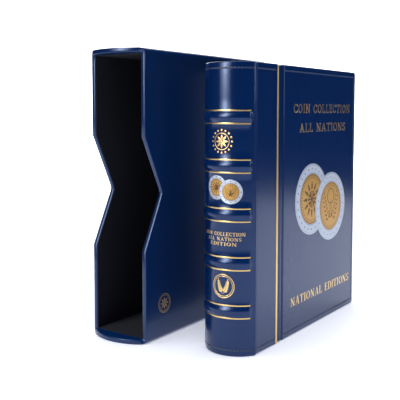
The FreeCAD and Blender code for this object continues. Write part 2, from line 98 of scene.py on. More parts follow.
# Slipcase
CASE_LOW, CASE_HIGH = limits("case_top")
CASE_X = (CASE_LOW[0] + CASE_HIGH[0]) / 2
CASE_HALF = (CASE_HIGH[0] - CASE_LOW[0]) / 2
CASE_TALL = CASE_HIGH[2]
CASE_BACK = CASE_HIGH[1]
CASE_MOUTH = limits("case_right_wall")[0][1]
CASE_BULGE = CASE_MOUTH - CASE_LOW[1]
CASE_WALL, CASE_CAP = 4.5, 5.0
CASE_CORNER, CASE_INNER_CORNER = 4.4, 0.5
NOTCH_LOW, NOTCH_HIGH, NOTCH_DEPTH = 94.0, 208.5, 28.0


# --- Materials --------------------------------------------------------------------------------------

def linear(code):
    """Linear colour of an sRGB hex code."""
    channels = [int(code[i:i + 2], 16) / 255 for i in (1, 3, 5)]
    return [c / 12.92 if c <= 0.04045 else ((c + 0.055) / 1.055) ** 2.4 for c in channels] + [1.0]


def material(name, colour, **inputs):
    made = bpy.data.materials.new(name)
    made.use_nodes = True
    shader = made.node_tree.nodes["Principled BSDF"]
    shader.inputs["Base Color"].default_value = linear(colour)
    for key, value in inputs.items():
        shader.inputs[key.replace("_", " ")].default_value = value
    return made


def add(made, kind, settings, links):
    """Adds a node. links maps an input's name to another node's output."""
    new = made.node_tree.nodes.new(kind)
    for key, value in settings.items():
        if key in new.inputs:
            new.inputs[key].default_value = value
        else:
            setattr(new, key, value)
    for key, output in links.items():
        made.node_tree.links.new(output, new.inputs[key])
    return new


def grain(made, scale, depth, stretch=(1.0, 1.0, 1.0)):
    """Relief of noise. scale is the size of its cells and depth its height, in millimetres."""
    place = add(made, "ShaderNodeTexCoord", {}, {})
    mapping = add(made, "ShaderNodeMapping", {"Scale": stretch}, {"Vector": place.outputs["Object"]})
    noise = add(made, "ShaderNodeTexNoise", {"Scale": 1 / (scale * MM), "Detail": 2.0},
                {"Vector": mapping.outputs["Vector"]})
    bump = add(made, "ShaderNodeBump", {"Strength": 1.0, "Distance": depth * MM},
               {"Height": noise.outputs["Fac"]})
    made.node_tree.links.new(bump.outputs["Normal"], made.node_tree.nodes["Principled BSDF"].inputs["Normal"])


WAVE, WAVE_DEPTH = 9, 0.1       # waviness of leatherette over board


def leather_grain(made, cell, depth):
    """Pebbled relief: small rounded cells over a faint waviness."""
    place = add(made, "ShaderNodeTexCoord", {}, {})
    pebbles = add(made, "ShaderNodeTexVoronoi", {"feature": "SMOOTH_F1", "Scale": 1 / (cell * MM)},
                  {"Vector": place.outputs["Object"]})
    waves = add(made, "ShaderNodeTexNoise", {"Scale": 1 / (WAVE * MM), "Detail": 1.0},
                {"Vector": place.outputs["Object"]})
    slow = add(made, "ShaderNodeBump", {"Strength": 0.5, "Distance": WAVE_DEPTH * MM},
               {"Height": waves.outputs["Fac"]})
    fine = add(made, "ShaderNodeBump", {"Strength": 1.0, "Distance": depth * MM, "invert": True},
               {"Height": pebbles.outputs["Distance"], "Normal": slow.outputs["Normal"]})
    made.node_tree.links.new(fine.outputs["Normal"], made.node_tree.nodes["Principled BSDF"].inputs["Normal"])


# Navy leatherette: soft broad highlights from a satin body, a sharper sheen from its lacquer.
ALBUM_LEATHER = material("navy_leatherette", "#03275A", Roughness=0.2, IOR=1.52, Coat_Weight=0.12,
                         Coat_Roughness=0.14, Specular_Tint=linear("#BFD6FF"))
leather_grain(ALBUM_LEATHER, 1.0, 0.03)
# Pressed channel under the stitches: the same leatherette, duller, with the shade in the channel painted in
# as a darker colour.
SEAM_SHADE = material("painted_shade_seam", "#04173A", Roughness=0.5)
grain(SEAM_SHADE, 0.6, 0.02)
# Imitation stitches: leatherette painted a little paler than the board around them, as a painted highlight on
# the raised stitches.
STITCH_HIGHLIGHT = material("painted_highlight_stitch", "#2B4C7E", Roughness=0.35)
grain(STITCH_HIGHLIGHT, 0.4, 0.02)
# The slipcase's leatherette: the same navy with a little more lacquer and a rougher body, so it looks softer.
CASE_LEATHER = material("slipcase_leatherette", "#03295B", Roughness=0.25, IOR=1.55, Coat_Weight=0.15,
                        Coat_Roughness=0.16, Specular_Tint=linear("#C4DAFF"))
leather_grain(CASE_LEATHER, 1.0, 0.03)
# Hot-stamped foil: bright warm metal with slightly uneven pressing.
GOLD = material("gold_foil", "#E3C27E", Metallic=1.0, Roughness=0.3)
grain(GOLD, 0.8, 0.01)
# Printed coin rim: pale blue-white silver ink, satin because the ink lies a little unevenly.
SILVER = material("silver_coin_print", "#C9D3E2", Metallic=0.35, Roughness=0.38)
grain(SILVER, 0.5, 0.006)
# Printed coin core: warm brass ink, satin.
CORE = material("brass_coin_print", "#D0A052", Metallic=0.35, Roughness=0.4)
grain(CORE, 0.5, 0.008)
# Printed shading of the core's picture: browner and darker.
CORE_DARK = material("bronze_coin_print", "#6E4716", Metallic=0.35, Roughness=0.45)
grain(CORE_DARK, 0.5, 0.008)
# Printed marks of the rim: blue-grey, matt enough to read as drawn lines.
RIM_DARK = material("grey_coin_print", "#7C879A", Metallic=0.2, Roughness=0.5)
grain(RIM_DARK, 0.5, 0.006)
# Endpapers: matt dark blue with a fine fibre.
PAPER = material("blue_endpaper", "#1B2A4A", Roughness=0.8)
grain(PAPER, 0.6, 0.02, stretch=(1.0, 1.0, 0.4))
# Lining of the slipcase: near-black and quite matt, so the mouth reads as deep.
LINING = material("black_lining_paper", "#0D0F1C", Roughness=0.85)
grain(LINING, 0.5, 0.02)
# Board under the rings: dark blue cover paper.
CARRIER = material("covered_board", "#16223F", Roughness=0.7)
grain(CARRIER, 0.7, 0.02)
# Nickel plate: bright and nearly neutral, with mirror-like highlights that waver over the stamped steel.
NICKEL = material("nickel_plate", "#D6D3CC", Metallic=1.0, Roughness=0.16)
grain(NICKEL, 6.0, 0.01)
# Spring steel blades: rolled along their length, so the highlights spread across it.
STEEL = material("rolled_steel", "#B9BABC", Metallic=1.0, Roughness=0.34)
grain(STEEL, 0.3, 0.01, stretch=(1.0, 1.0, 0.05))
# Clear rigid film: see-through with glossy edges and the slow waviness of a formed tray.
FILM = material("clear_film", "#E9F0F4", Roughness=0.12, IOR=1.46, Transmission_Weight=0.85)
grain(FILM, 14.0, 0.04)
# Closing strips: thinner and clearer, with a slower waviness along them.
STRIP_FILM = material("clear_strip_film", "#F2F6F8", Roughness=0.08, IOR=1.46, Transmission_Weight=0.92)
grain(STRIP_FILM, 22.0, 0.04)
# Card behind the wells: matt blue board with a little mottle.
CARD = material("blue_card", "#1D3263", Roughness=0.82)
grain(CARD, 0.8, 0.03)

SLOTS = {
    "endpaper": PAPER, "case_lining": LINING, "carrier_board": CARRIER, "nickel_plate": NICKEL,
    "blade_steel": STEEL, "tray_plastic": FILM, "strip_plastic": STRIP_FILM, "sheet_card": CARD,
    "album_leatherette": ALBUM_LEATHER, "case_leatherette": CASE_LEATHER,
}
for part in frame["record"]["subparts"]:
    mesh = frame["nodes"][part["node"]].data
    mesh.materials.clear()
    mesh.materials.append(SLOTS[part["material_slot"]])


# --- Shapes -----------------------------------------------------------------------------------------

class Shape:
    """Closed skins of one piece. Each face carries the number of its material."""

    def __init__(self):
        self.points, self.faces, self.finishes = [], [], []

    def loft(self, rings, finish=0, closed=False):
        """Skins rings of equal length. The ends are capped, or the last ring meets the first."""
        start, size, count = len(self.points), len(rings[0]), len(rings)
        for ring in rings:
            self.points.extend(ring)
        faces = []
        for i in range(count if closed else count - 1):
            near, far = start + i * size, start + (i + 1) % count * size
            for j in range(size):
                k = (j + 1) % size
                faces.append((near + j, near + k, far + k, far + j))
        if not closed:
            faces.append(tuple(range(start, start + size)))
            faces.append(tuple(range(start + (count - 1) * size, start + count * size)))
        self.faces.extend(faces)
        self.finishes.extend([finish] * len(faces))

    def build(self, name, finishes, sharp=35):
        """Makes the object, with its faces turned outwards. Edges over sharp degrees stay sharp."""
        mesh = bpy.data.meshes.new(name)
        mesh.from_pydata([tuple(c * MM for c in p) for p in self.points], [], self.faces)
        for finish in finishes:
            mesh.materials.append(finish)
        mesh.polygons.foreach_set("material_index", self.finishes)
        work = bmesh.new()
        work.from_mesh(mesh)
        bmesh.ops.recalc_face_normals(work, faces=work.faces)
        work.to_mesh(mesh)
        work.free()
        mesh.shade_smooth()
        mesh.set_sharp_from_angle(angle=math.radians(sharp))
        obj = bpy.data.objects.new(name, mesh)
        bpy.context.scene.collection.objects.link(obj)
        return obj


def smooth(t):
    """Eases from 0 to 1."""
    t = min(max(t, 0.0), 1.0)
    return t * t * (3 - 2 * t)


def turned(full, count, start=0.0, end=2 * math.pi):
    """Evenly spaced angles. A full turn leaves out the last one, which is the first again."""
    steps = count if full else count - 1
    return [start + (end - start) * i / steps for i in range(count)]


CORNER_STEPS = 6                # points round each corner of a board


def rounded_rectangle(u, v, radii, insets):
    """Outline of a rectangle from its low corner round, with each corner's radius and its move inwards."""
    corners = [(u[0], v[0], math.pi), (u[1], v[0], 1.5 * math.pi),
               (u[1], v[1], 0.0), (u[0], v[1], 0.5 * math.pi)]
    outline = []
    for (a, b, start), radius, inset in zip(corners, radii, insets):
        turn = max(radius - inset, 0.05)
        middle_u = a + (inset + turn) * (1 if a == u[0] else -1)
        middle_v = b + (inset + turn) * (1 if b == v[0] else -1)
        for angle in turned(False, CORNER_STEPS, start, start + math.pi / 2):
            outline.append((middle_u + turn * math.cos(angle), middle_v + turn * math.sin(angle)))
    return outline


# A place maps across, up and out (from the surface) to a point. Foil, print and stitches are raised a little
# from a surface, and their skins reach this far into it.
SUNK = -0.12


def cover_place(side):
    return lambda u, v, h: (side * (HALF + h), u, v)


def spine_place(u, v, h):
    angle = u / SPINE_R
    return ((SPINE_R + h) * math.sin(angle), SPINE_Y - (SPINE_R + h) * math.cos(angle), v)


def case_place(u, v, h):
    return (CASE_X + CASE_HALF + h, u, v)


def ribbon(shape, place, pairs, top, finish=0, bottom=SUNK):
    """A raised stroke with a rounded back. Each pair is the left and right edge at one station."""
    rings = []
    for left, right in pairs:
        ring = []
        for share, lift in ((0.0, bottom), (0.0, top * 0.3), (0.1, top * 0.7), (0.32, top), (0.68, top),
                            (0.9, top * 0.7), (1.0, top * 0.3), (1.0, bottom)):
            u, v = (a + (b - a) * share for a, b in zip(left, right))
            ring.append(place(u, v, lift))
        rings.append(ring)
    shape.loft(rings, finish)


def line(shape, place, path, width, top, finish=0, bottom=SUNK):
    """A raised line of even width along a path of points."""
    path = [np.array(p, float) for p in path]
    pairs = []
    for i, p in enumerate(path):
        ahead = path[min(i + 1, len(path) - 1)] - path[max(i - 1, 0)]
        across = np.array([-ahead[1], ahead[0]]) / np.linalg.norm(ahead) * width / 2
        pairs.append((p + across, p - across))
    ribbon(shape, place, pairs, top, finish, bottom)


def leaf(shape, place, base, angle, length, width, top, finish=0, bottom=SUNK, blunt=0.8):
    """A domed leaf or petal that starts at base and points along angle."""
    along = np.array([math.cos(angle), math.sin(angle)])
    across = np.array([-along[1], along[0]])
    rings = []
    for t in np.linspace(0.02, 0.98, 8):
        half = width / 2 * math.sin(math.pi * t) ** blunt
        middle = np.array(base) + along * length * t
        rise = top * math.sin(math.pi * t) ** 0.4
        ring = []
        for share, lift in ((-1, bottom), (-1, rise * 0.3), (-0.5, rise * 0.8), (0, rise), (0.5, rise * 0.8),
                            (1, rise * 0.3), (1, bottom)):
            u, v = middle + across * half * share
            ring.append(place(u, v, lift))
        rings.append(ring)
    shape.loft(rings, finish)


def lathe(shape, place, centre, profile, count=64, finish=0, closed=False):
    """Turns a profile of (radius, height) about a centre on the surface."""
    rings = []
    for radius, rise in profile:
        rings.append([place(centre[0] + radius * math.cos(a), centre[1] + radius * math.sin(a), rise)
                      for a in turned(True, count)])
    shape.loft(rings, finish, closed)


def bead(shape, place, centre, radius, top, finish=0, bottom=SUNK, count=10):
    profile = [(radius, bottom), (radius, top * 0.2), (radius * 0.8, top * 0.7), (radius * 0.4, top)]
    lathe(shape, place, centre, profile, count, finish)


def hoop(shape, place, centre, radius, width, top, finish=0, bottom=SUNK, count=64):
    inner, outer = radius - width / 2, radius + width / 2
    profile = [(inner, bottom), (inner, top * 0.5), (radius - width / 4, top), (radius + width / 4, top),
               (outer, top * 0.5), (outer, bottom)]
    lathe(shape, place, centre, profile, count, finish, closed=True)


def around(centre, radius, angle):
    return (centre[0] + radius * math.cos(angle), centre[1] + radius * math.sin(angle))


def rosette(shape, place, centre, radius, petals, top, finish=0, bottom=SUNK):
    for angle in turned(True, petals, math.pi / 2, math.pi * 2.5):
        leaf(shape, place, around(centre, radius * 0.16, angle), angle, radius * 0.84,
             radius * 2.4 / petals, top, finish, bottom)
    bead(shape, place, centre, radius * 0.14, top, finish, bottom, 16)


def sprig(shape, place, base, height, bend, top, finish=0, bottom=SUNK):
    """A curved stem with leaves on both sides."""
    def stem(t):
        return np.array([base[0] + bend * math.sin(math.pi * 0.5 * t), base[1] + height * t])
    line(shape, place, [stem(t) for t in np.linspace(0, 1, 12)], height * 0.035, top * 0.7, finish, bottom)
    for i in range(6):
        t = 0.12 + 0.14 * i
        ahead = stem(t + 0.02) - stem(t)
        heading = math.atan2(ahead[1], ahead[0])
        size = height * (0.27 - 0.02 * i)
        for turn in (0.75, -0.75):
            leaf(shape, place, stem(t), heading + turn, size, size * 0.44, top, finish, bottom)
    leaf(shape, place, stem(0.93), heading, height * 0.18, height * 0.07, top, finish, bottom)


# --- Album skins: leatherette turned round the boards -------------------------------------------------

EDGE = 1.4      # soft outer edge of a covered board


def board_skin(name, side, u, radii, edges):
    """A covered board. Each of its four corners has a radius, and a softness of the outer edge there."""
    shape = Shape()
    rings = []

    def ring(insets, drops):
        outline = rounded_rectangle(u, (0.0, HEIGHT), radii, insets)
        rings.append([(side * (HALF - drops[i // CORNER_STEPS]), a, b) for i, (a, b) in enumerate(outline)])

    thick = [HALF - INNER] * 4
    ring([0.9] * 4, thick)
    ring([0.3] * 4, thick)
    ring([0.0] * 4, [t - 0.4 for t in thick])
    for angle in turned(False, 8, 0.0, math.pi / 2):
        ring([e * (1 - math.cos(angle)) for e in edges], [e * (1 - math.sin(angle)) for e in edges])
    ring([e + 0.4 for e in edges], [0.0] * 4)
    shape.loft(rings)
    return shape.build(name, [ALBUM_LEATHER])


STITCH_PITCH = 3.3
STITCH_LENGTH, STITCH_WIDTH, STITCH_RISE = 2.2, 1.0, 0.42
STITCH_INSET = 6.0              # album's end to the seam
EDGE_INSET = 5.0                # cover's free edge to the seam
SEAM_WIDTH, SEAM_RISE = 1.7, 0.05


def stitches(shape, place, start, end):
    """Imitation stitches (0), paler as a painted highlight, in a pressed channel (1) that is darker as
    painted shade, from start to end on the surface.
    """
    start, end = np.array(start, float), np.array(end, float)
    span = end - start
    length = np.linalg.norm(span)
    count = int(length / STITCH_PITCH)
    line(shape, place, [start + span * t for t in np.linspace(0, 1, 33)], SEAM_WIDTH, SEAM_RISE, 1)
    for i in range(count):
        base = start + span * ((i + 0.5) / count - STITCH_LENGTH / 2 / length)
        leaf(shape, place, base, math.atan2(span[1], span[0]), STITCH_LENGTH, STITCH_WIDTH, STITCH_RISE,
             blunt=0.4)


for side, label in ((1, "front"), (-1, "rear")):
    strip = board_skin(f"{label}_strip_skin", side, (STRIP_START, STRIP_END), (0.3, 0.6, 0.6, 0.3),
                       (2.6, 0.7, 0.7, 2.6))
    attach(strip, f"{label}_strip")
    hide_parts(f"{label}_strip_board")
    cover = board_skin(f"{label}_cover_skin", side, (COVER_START, COVER_END), (0.8, 3.0, 3.0, 0.8),
                       (1.9, EDGE, EDGE, 1.9))
    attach(cover, f"{label}_cover")
    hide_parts(f"{label}_cover_board")

    place = cover_place(side)
    seams = Shape()
    for v in (STITCH_INSET, HEIGHT - STITCH_INSET):
        stitches(seams, place, (STRIP_START + 2, v), (STRIP_END - 3.5, v))
    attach(seams.build(f"{label}_strip_stitches", [STITCH_HIGHLIGHT, SEAM_SHADE]), f"{label}_strip")
    seams = Shape()
    for v in (STITCH_INSET, HEIGHT - STITCH_INSET):
        stitches(seams, place, (COVER_START + 2, v), (COVER_END - EDGE_INSET, v))
    stitches(seams, place, (COVER_END - EDGE_INSET, STITCH_INSET + 2),
             (COVER_END - EDGE_INSET, HEIGHT - STITCH_INSET - 2))
    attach(seams.build(f"{label}_cover_stitches", [STITCH_HIGHLIGHT, SEAM_SHADE]), f"{label}_cover")

    foil = Shape()
    line(foil, place, [(STRIP_END - 0.2, 0.9), (STRIP_END - 0.2, HEIGHT - 0.9)], 2.8, 0.7, 0, -1.2)
    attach(foil.build(f"{label}_strip_foil_line", [GOLD], 60), f"{label}_strip")


def web(name, side, profile):
    """A ribbon of leatherette between two boards. profile is its outline across the groove."""
    shape = Shape()
    levels = [0.9, 1.3, 2.2, STITCH_INSET, HEIGHT - STITCH_INSET, HEIGHT - 2.2, HEIGHT - 1.3, HEIGHT - 0.9]
    rings = []
    for level in levels:
        pinch = 0.35 if level in (levels[0], levels[-1]) else 0.0
        middle_x = sum(x for _, x in profile) / len(profile)
        rings.append([(side * (x + (middle_x - x) * pinch), y, level) for y, x in profile])
    shape.loft(rings)
    obj = shape.build(name, [ALBUM_LEATHER], 50)
    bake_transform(obj)


def groove_outline():
    """Outer face of the hinge groove, which swells towards the cover, then its underside back."""
    start, end = STRIP_END - 0.6, COVER_START + 0.6
    outer = []
    for t in np.linspace(0, 1, 49):
        y = start + (end - start) * t
        level = WEB_OUT + 0.1 + 1.9 * math.sin(math.pi / 2 * min(max((y - STRIP_END) / 8.6, 0.0), 1.0))
        level -= 1.6 * smooth((y - COVER_START + 3.0) / 1.6)
        drop = 1 - smooth((y - STRIP_END + 0.3) / 1.1)
        climb = smooth((y - COVER_START + 0.8) / 1.2)
        outer.append((y, level + (HALF - 0.35 - level) * max(drop, climb)))
    under = [(end - (end - start) * t, WEB_IN) for t in np.linspace(0, 1, 13)]
    return outer + under


def crease_outline():
    """The sealed seam beside the spine: a slim round ridge, then its underside back."""
    middle = CREASE + 0.35
    outer = [(middle - 1.5 * math.cos(a), HALF - 0.7 + 1.6 * math.sin(a))
             for a in turned(False, 15, 0.0, math.pi)]
    under = [(middle + 1.5 - 3.0 * t, HALF - 2.6) for t in np.linspace(0, 1, 9)]
    return outer + under


for side, label in ((1, "front"), (-1, "rear")):
    web(f"{label}_groove_web", side, groove_outline())
    web(f"{label}_crease_web", side, crease_outline())


# Spine: one curved skin whose raised bands are moulded into it.

def band_height(v, angle):
    """Height of the bands above the spine's curve."""
    rise = 0.0
    for middle in BANDS:
        share = min(abs(v - middle) / BAND_HALF, 1.0)
        rise += BAND_RISE * (1 - share ** 2.6) ** 1.6
    return rise * smooth((BAND_STOP - abs(angle)) / BAND_FADE)


def spine_levels():
    """Heights of the skin's points: close together on the bands, far apart between them."""
    levels = []
    edges = [v for middle in BANDS for v in (middle - BAND_HALF, middle + BAND_HALF)]
    edges = [EDGE] + edges + [HEIGHT - EDGE]
    for i in range(len(edges) - 1):
        steps = 14 if i % 2 else 4
        levels += [edges[i] + (edges[i + 1] - edges[i]) * k / steps for k in range(steps)]
    return levels + [edges[-1]]


ROUND = (0.4, 0.8, 1.2)         # angles round the soft edges at the spine's two ends
spine_rings = []
for angle in np.linspace(-SPINE_END, SPINE_END, 81):
    section = [(SPINE_R - SPINE_WALL, 0.3), (SPINE_R - SPINE_WALL + 0.3, 0.0), (SPINE_R - EDGE, 0.0)]
    section += [(SPINE_R - EDGE * (1 - math.sin(a)), EDGE * (1 - math.cos(a))) for a in ROUND]
    section += [(SPINE_R + band_height(v, angle), v) for v in spine_levels()]
    section += [(SPINE_R - EDGE * (1 - math.sin(a)), HEIGHT - EDGE * (1 - math.cos(a)))
                for a in reversed(ROUND)]
    section += [(SPINE_R - EDGE, HEIGHT), (SPINE_R - SPINE_WALL + 0.3, HEIGHT),
                (SPINE_R - SPINE_WALL, HEIGHT - 0.3)]
    spine_rings.append([(r * math.sin(angle), SPINE_Y - r * math.cos(angle), v) for r, v in section])
spine_shape = Shape()
spine_shape.loft(spine_rings)
spine = spine_shape.build("spine_skin", [ALBUM_LEATHER])
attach(spine, "spine")
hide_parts("spine_wall", "raised_bands")

seams = Shape()
for v in (STITCH_INSET, HEIGHT - STITCH_INSET):
    stitches(seams, spine_place, (-SPINE_R * 1.05, v), (SPINE_R * 1.05, v))
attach(seams.build("spine_stitches", [STITCH_HIGHLIGHT, SEAM_SHADE]), "spine")

FOIL_OFFSET = 6.15              # middle of a band to the gold lines beside it
FOIL_REACH = SPINE_R * math.radians(54.5)
foil = Shape()
for middle in BANDS:
    for v in (middle - FOIL_OFFSET, middle + FOIL_OFFSET):
        line(foil, spine_place, [(u, v) for u in np.linspace(-FOIL_REACH, FOIL_REACH, 49)], 1.3, 0.1)
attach(foil.build("spine_foil_lines", [GOLD], 60), "spine")


# --- Lettering: plain serif capitals made of strokes --------------------------------------------------

def stroke(a, b, width):
    """A straight stroke with square ends, as one pair of edges at each end."""
    a, b = np.array(a, float), np.array(b, float)
    ahead = (b - a) / np.linalg.norm(b - a)
    across = np.array([-ahead[1], ahead[0]]) * width / 2
    return [(a + across, a - across), (b + across, b - across)]


def bow(centre, radii, sides, caps, start, end, steps=14):
    """A curved stroke, thick at its sides and thin at its top and bottom."""
    pairs = []
    for angle in turned(False, steps, math.radians(start), math.radians(end)):
        c, s = math.cos(angle), math.sin(angle)
        outer = (centre[0] + radii[0] * c, centre[1] + radii[1] * s)
        inner = (centre[0] + (radii[0] - sides) * c, centre[1] + (radii[1] - caps) * s)
        pairs.append((outer, inner))
    return pairs


THICK, THIN, SERIF = 0.16, 0.075, 0.06


def post(x):
    """An upright with a serif at its head and foot."""
    return [stroke((x, 0), (x, 1), THICK), stroke((x - 0.16, 0.03), (x + 0.16, 0.03), SERIF),
            stroke((x - 0.16, 0.97), (x + 0.16, 0.97), SERIF)]


# Each letter is its width and its strokes, one unit tall.
LETTERS = {
    "A": (0.82, [stroke((0.13, 0), (0.41, 1), THIN), stroke((0.41, 1), (0.68, 0), THICK),
                 stroke((0.2, 0.32), (0.58, 0.32), THIN), stroke((0, 0.03), (0.26, 0.03), SERIF),
                 stroke((0.52, 0.03), (0.84, 0.03), SERIF)]),
    "C": (0.72, [bow((0.38, 0.5), (0.36, 0.5), THICK, THIN, 42, 318, 20),
                 stroke((0.66, 0.66), (0.66, 0.95), THIN), stroke((0.66, 0.05), (0.66, 0.32), THIN)]),
    "D": (0.78, post(0.18) + [
        bow((0.3, 0.5), (0.46, 0.5), THICK, THIN, -90, 90, 16),
        stroke((0.14, 0.96), (0.32, 0.96), THIN), stroke((0.14, 0.04), (0.32, 0.04), THIN)]),
    "E": (0.66, post(0.18) + [
        stroke((0.16, 0.96), (0.6, 0.96), THIN), stroke((0.16, 0.52), (0.48, 0.52), THIN),
        stroke((0.16, 0.04), (0.62, 0.04), THIN), stroke((0.58, 0.78), (0.58, 0.99), THIN),
        stroke((0.46, 0.42), (0.46, 0.62), THIN), stroke((0.6, 0.01), (0.6, 0.24), THIN)]),
    "I": (0.36, post(0.18)),
    "L": (0.62, post(0.18) + [
        stroke((0.16, 0.04), (0.58, 0.04), THIN), stroke((0.56, 0.01), (0.56, 0.26), THIN)]),
    "N": (0.86, [stroke((0.16, 0), (0.16, 1), THIN), stroke((0.14, 1), (0.7, 0), THICK),
                 stroke((0.7, 0), (0.7, 1), THIN), stroke((0, 0.97), (0.24, 0.97), SERIF),
                 stroke((0.02, 0.03), (0.3, 0.03), SERIF), stroke((0.56, 0.97), (0.84, 0.97), SERIF)]),
    "O": (0.8, [bow((0.4, 0.5), (0.38, 0.5), THICK, THIN, 0, 359.9, 28)]),
    "S": (0.58, [bow((0.29, 0.74), (0.25, 0.26), 0.13, THIN, 25, 250, 14),
                 bow((0.29, 0.26), (0.27, 0.28), 0.14, THIN, -155, 85, 14),
                 stroke((0.5, 0.7), (0.5, 0.95), THIN), stroke((0.05, 0.05), (0.05, 0.3), THIN)]),
    "T": (0.72, [stroke((0.36, 0), (0.36, 1), THICK), stroke((0.02, 0.96), (0.7, 0.96), THIN),
                 stroke((0.04, 0.76), (0.04, 0.99), THIN), stroke((0.68, 0.76), (0.68, 0.99), THIN),
                 stroke((0.2, 0.03), (0.52, 0.03), SERIF)]),
    " ": (0.42, []),
}
LETTER_GAP = 0.1
STROKE_STEP = 0.004             # each stroke is higher than the one before it, so that none coincide


def lettering(shape, place, text, left, right, foot, height, top):
    """Sets a line of text between left and right."""
    length = sum(LETTERS[c][0] + LETTER_GAP for c in text) - LETTER_GAP
    scale = (right - left) / length
    pen = left
    for c in text:
        for i, pairs in enumerate(LETTERS[c][1]):
            spots = [[(pen + u * scale, foot + v * height) for u, v in pair] for pair in pairs]
            ribbon(shape, place, spots, top + STROKE_STEP * i)
        pen += (LETTERS[c][0] + LETTER_GAP) * scale


# Lines of text: left end, right end, foot and height
COVER_TEXT = {
    "COIN COLLECTION": (91.0, 232.0, 231.9, 9.3),
    "ALL NATIONS": (104.5, 219.5, 211.8, 9.0),
    "NATIONAL EDITIONS": (87.5, 235.0, 30.6, 9.0),
}
SPINE_TEXT = {
    "COIN COLLECTION": (-22.0, 25.5, 115.9, 3.5),
    "ALL NATIONS": (-16.5, 21.5, 111.2, 3.3),
    "EDITION": (-12.5, 17.0, 106.5, 3.3),
}

front = cover_place(1)
title = Shape()
for text, (left, right, foot, height) in COVER_TEXT.items():
    lettering(title, front, text, left, right, foot, height, 0.12)
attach(title.build("cover_title", [GOLD]), "front_cover")


# --- Coin pictures and ornaments ----------------------------------------------------------------------

COVER_COIN, SPINE_COIN = 38.5, 11.6     # radii of the coins
LIFT = 0.3                              # the coin in front lies this much above the one behind it


def coin_picture(shape, place, centre, radius, design, base, dots, ticks):
    """A two-colour coin in low relief: silver ring (0), brass core (1), its shading (2) and rim marks (3)."""
    core = radius * 0.71
    count = 96 if radius > 20 else 48
    size = radius / COVER_COIN
    ring = [(core * 0.98, SUNK), (core * 0.98, base + 0.06), (core + 0.8 * size, base + 0.08),
            (radius * 0.93, base + 0.08), (radius * 0.945, base + 0.15), (radius * 0.985, base + 0.15),
            (radius, base + 0.06), (radius, SUNK)]
    lathe(shape, place, centre, ring, count, 0, closed=True)
    field = base + 0.07
    disc = [(core, -0.1), (core, field), (core * 0.97, field + 0.03), (core * 0.5, field + 0.035)]
    lathe(shape, place, centre, disc, count, 1)
    hoop(shape, place, centre, core * 0.96, 1.3 * size, field + 0.07, 2, field - 0.05, count)
    hoop(shape, place, centre, core * 1.03, 0.8 * size, base + 0.13, 3, base - 0.02, count)
    hoop(shape, place, centre, radius * 0.96, 0.5 * size, base + 0.2, 3, base - 0.02, count)
    relief, floor = field + 0.16, field - 0.05
    for angle in turned(True, dots):
        bead(shape, place, around(centre, radius * 0.855, angle), radius * 0.8 / dots, base + 0.2, 3,
             base - 0.02)
    for angle in turned(True, ticks):
        line(shape, place, [around(centre, core * 0.81, angle), around(centre, core * 0.91, angle)],
             core * 1.6 / ticks, relief - 0.05, 2, floor)
    if design == "rosette":
        rosette(shape, place, centre, core * 0.77, 12, relief, 2, floor)
        for angle in turned(True, 12, math.pi / 12, math.pi * 25 / 12):
            leaf(shape, place, around(centre, core * 0.36, angle), angle, core * 0.4, core * 0.12,
                 relief + 0.03, 1, floor)
        hoop(shape, place, centre, core * 0.38, core * 0.07, relief + 0.06, 1, floor)
        rosette(shape, place, centre, core * 0.32, 8, relief + 0.06, 2, floor)
    else:
        foot = centre[1] - core * 0.72
        for turn in (-1, 1):
            sprig(shape, place, (centre[0] + turn * core * 0.08, foot), core * 1.25, turn * core * 0.5,
                  relief, 2, floor)
        sprig(shape, place, (centre[0], foot + core * 0.1), core * 0.85, 0.0, relief + 0.03, 2, floor)
        rosette(shape, place, (centre[0], centre[1] + core * 0.42), core * 0.27, 8, relief + 0.06, 1, floor)
        hoop(shape, place, (centre[0], centre[1] + core * 0.42), core * 0.31, core * 0.05, relief, 2, floor)


COIN_FINISHES = [SILVER, CORE, CORE_DARK, RIM_DARK]
coins = Shape()
coin_picture(coins, front, (134.5, 139.0), COVER_COIN, "rosette", 0.0, 24, 44)
coin_picture(coins, front, (181.5, 126.5), COVER_COIN, "sprig", LIFT, 24, 44)
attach(coins.build("cover_coin_pictures", COIN_FINISHES), "front_cover")

coins = Shape()
coin_picture(coins, spine_place, (-4.4, 161.6), SPINE_COIN, "rosette", 0.0, 12, 20)
coin_picture(coins, spine_place, (10.9, 158.0), SPINE_COIN, "sprig", LIFT, 12, 20)
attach(coins.build("spine_coin_pictures", COIN_FINISHES), "spine")

ornaments = Shape()
wreath = (1.6, 205.3)
for angle in turned(True, 16, math.pi / 2, math.pi * 2.5):
    bead(ornaments, spine_place, around(wreath, 10.7, angle), 0.95, 0.18)
hoop(ornaments, spine_place, wreath, 7.8, 0.6, 0.12)
rosette(ornaments, spine_place, wreath, 6.6, 8, 0.16)
crest = (3.4, 67.6)
hoop(ornaments, spine_place, crest, 11.2, 0.75, 0.12)
hoop(ornaments, spine_place, crest, 9.6, 0.45, 0.12)
for turn in (-1, 1):
    sprig(ornaments, spine_place, (crest[0] + turn * 0.6, crest[1] - 7.2), 13.0, turn * 4.2, 0.16)
for text, (left, right, foot, height) in SPINE_TEXT.items():
    lettering(ornaments, spine_place, text, left, right, foot, height, 0.1)
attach(ornaments.build("spine_ornaments", [GOLD]), "spine")


# --- Slipcase: one covered shell with notched sides and a curved mouth ------------------------------

